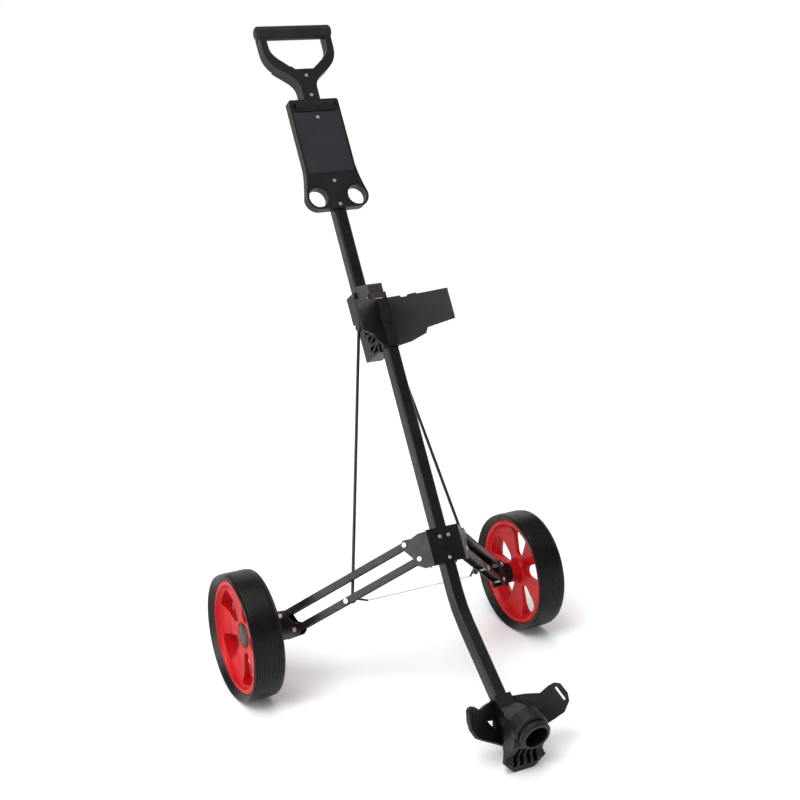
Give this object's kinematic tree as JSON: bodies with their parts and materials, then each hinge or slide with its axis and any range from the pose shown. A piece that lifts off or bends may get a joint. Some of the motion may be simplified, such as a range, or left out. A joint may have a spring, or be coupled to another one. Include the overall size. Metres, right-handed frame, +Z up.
{
  "type": "golf push trolley",
  "caption": "Folding golf bag trolley: a leaning mast with a sliding handle, a card console, bag cradles, a front foot, and wheels on parallel arms that fold in.",
  "frame": {"origin": "middle of the trolley's footprint box, on the floor it stands on", "axes": "+Z up, +Y towards the person pushing, -Y towards the bag and the front foot, +X to the right"},
  "size_m": [0.664, 0.902, 1.2058],
  "materials": {
    "satin_black_paint": "satin black powder coat",
    "black_plastic": "fine matt moulded grain",
    "latch_plastic": "matt, lightly ribbed",
    "black_rubber": "matt, finely grained",
    "tyre_rubber": "matt with fine ribs round it",
    "red_plastic": "smooth, moderately glossy",
    "cap_plastic": "smooth satin",
    "zinc": "bright zinc plate",
    "cable_coat": "smooth light coat over a steel wire",
    "window_plastic": "smooth tinted sheet"
  },
  "bodies": {
    "frame": {"main_tube": "satin_black_paint", "main_tube_cap": "black_plastic", "bracket_front_plate": "satin_black_paint", "bracket_rear_plate": "satin_black_paint", "bracket_rivet_1": "zinc", "bracket_rivet_2": "zinc", "bracket_rivet_3": "zinc", "lower_arm_pin_right": "zinc", "lower_arm_pin_left": "zinc", "upper_arm_pin_right": "zinc", "upper_arm_pin_left": "zinc", "upper_cradle": "black_plastic", "cradle_screw": "satin_black_paint", "handle_guide": "black_plastic", "latch_pin": "zinc", "bag_rest": "black_plastic", "limit_cable": "cable_coat"},
    "handle": {"handle_tube": "satin_black_paint", "handle_yoke": "black_plastic", "grip_core": "satin_black_paint", "grip_sleeve": "black_rubber", "grip_end_right": "black_plastic", "grip_end_left": "black_plastic", "stem_rivet_1": "zinc", "stem_rivet_2": "zinc", "slider": "black_plastic", "console": "black_plastic", "card_window": "window_plastic", "console_screw_1": "zinc", "console_screw_2": "zinc", "console_screw_3": "zinc", "clip_pin": "zinc"},
    "card_clip": {"card_clip": "black_plastic"},
    "release_latch": {"release_latch": "latch_plastic"},
    "lower_arm_right": {"lower_arm_right": "satin_black_paint", "rod_bolt_right": "zinc", "cable_sleeve_right": "black_rubber"},
    "upper_arm_right": {"upper_arm_right": "satin_black_paint"},
    "knuckle_right": {"knuckle_right": "satin_black_paint", "lower_knuckle_pin_right": "zinc", "upper_knuckle_pin_right": "zinc", "axle_right": "zinc"},
    "rod_right": {"rod_right": "satin_black_paint", "rod_top_bolt_right": "satin_black_paint"},
    "wheel_right": {"tyre_right": "tyre_rubber", "rim_right": "red_plastic", "hub_cap_right": "cap_plastic"},
    "lower_arm_left": {"lower_arm_left": "satin_black_paint", "rod_bolt_left": "zinc", "cable_sleeve_left": "black_rubber"},
    "upper_arm_left": {"upper_arm_left": "satin_black_paint"},
    "knuckle_left": {"knuckle_left": "satin_black_paint", "lower_knuckle_pin_left": "zinc", "upper_knuckle_pin_left": "zinc", "axle_left": "zinc"},
    "rod_left": {"rod_left": "satin_black_paint", "rod_top_bolt_left": "satin_black_paint"},
    "wheel_left": {"tyre_left": "tyre_rubber", "rim_left": "red_plastic", "hub_cap_left": "cap_plastic"}
  },
  "joints": [
    {"name": "fold_right", "type": "hinge", "parent": "frame", "child": "lower_arm_right", "pos_m": [0.03871, -0.13254, 0.29233], "axis": [-0.7727, 0.5508, -0.3154], "range_deg": [0, 78], "deforming": ["limit_cable"]},
    {"name": "upper_arm_fold_right", "type": "hinge", "parent": "frame", "child": "upper_arm_right", "pos_m": [0.05293, -0.10196, 0.31089], "axis": [-0.7727, 0.5508, -0.3154], "range_deg": [0, 78]},
    {"name": "knuckle_fold_right", "type": "hinge", "parent": "lower_arm_right", "child": "knuckle_right", "pos_m": [0.2173, 0.02676, 0.13301], "axis": [-0.7727, 0.5508, -0.3154], "range_deg": [-78, 0]},
    {"name": "rod_swing_right", "type": "hinge", "parent": "lower_arm_right", "child": "rod_right", "pos_m": [0.13134, -0.03069, 0.19412], "axis": [-0.7727, 0.5508, -0.3154], "range_deg": [-59.3, 0]},
    {"name": "wheel_spin_right", "type": "hinge", "parent": "knuckle_right", "child": "wheel_right", "pos_m": [0.3018, 0.07903, 0.12], "axis": [1, 0, 0], "continuous": true},
    {"name": "fold_left", "type": "hinge", "parent": "frame", "child": "lower_arm_left", "pos_m": [-0.03871, -0.13254, 0.29233], "axis": [-0.7727, -0.5508, 0.3154], "range_deg": [0, 78]},
    {"name": "upper_arm_fold_left", "type": "hinge", "parent": "frame", "child": "upper_arm_left", "pos_m": [-0.05293, -0.10196, 0.31089], "axis": [-0.7727, -0.5508, 0.3154], "range_deg": [0, 78]},
    {"name": "knuckle_fold_left", "type": "hinge", "parent": "lower_arm_left", "child": "knuckle_left", "pos_m": [-0.2173, 0.02676, 0.13301], "axis": [-0.7727, -0.5508, 0.3154], "range_deg": [-78, 0]},
    {"name": "rod_swing_left", "type": "hinge", "parent": "lower_arm_left", "child": "rod_left", "pos_m": [-0.13134, -0.03069, 0.19412], "axis": [-0.7727, -0.5508, 0.3154], "range_deg": [-59.3, 0]},
    {"name": "wheel_spin_left", "type": "hinge", "parent": "knuckle_left", "child": "wheel_left", "pos_m": [-0.3018, 0.07903, 0.12], "axis": [1, 0, 0], "continuous": true},
    {"name": "handle_slide", "type": "slide", "parent": "frame", "child": "handle", "axis": [0, -0.497, -0.8678], "range_m": [0, 0.1138]},
    {"name": "latch_tilt", "type": "hinge", "parent": "frame", "child": "release_latch", "pos_m": [0, 0.1012, 0.72152], "axis": [1, 0, 0], "range_deg": [0, 12], "stiffness_Nm_per_rad": 0.4, "springref_deg": -14.32},
    {"name": "card_clip_open", "type": "hinge", "parent": "handle", "child": "card_clip", "pos_m": [0, 0.34629, 1.06355], "axis": [-1, 0, 0], "range_deg": [0, 70], "stiffness_Nm_per_rad": 0.05, "springref_deg": -34.38}
  ],
  "couplings": [
    {"joint": "upper_arm_fold_right", "follows": "fold_right", "ratio": 1},
    {"joint": "knuckle_fold_right", "follows": "fold_right", "ratio": -1},
    {"joint": "rod_swing_right", "follows": "fold_right", "ratio": -0.757},
    {"joint": "fold_left", "follows": "fold_right", "ratio": 1},
    {"joint": "upper_arm_fold_left", "follows": "fold_right", "ratio": 1},
    {"joint": "knuckle_fold_left", "follows": "fold_right", "ratio": -1},
    {"joint": "rod_swing_left", "follows": "fold_right", "ratio": -0.757},
    {"joint": "handle_slide", "follows": "fold_right", "m_per_rad": 0.08339}
  ]
}
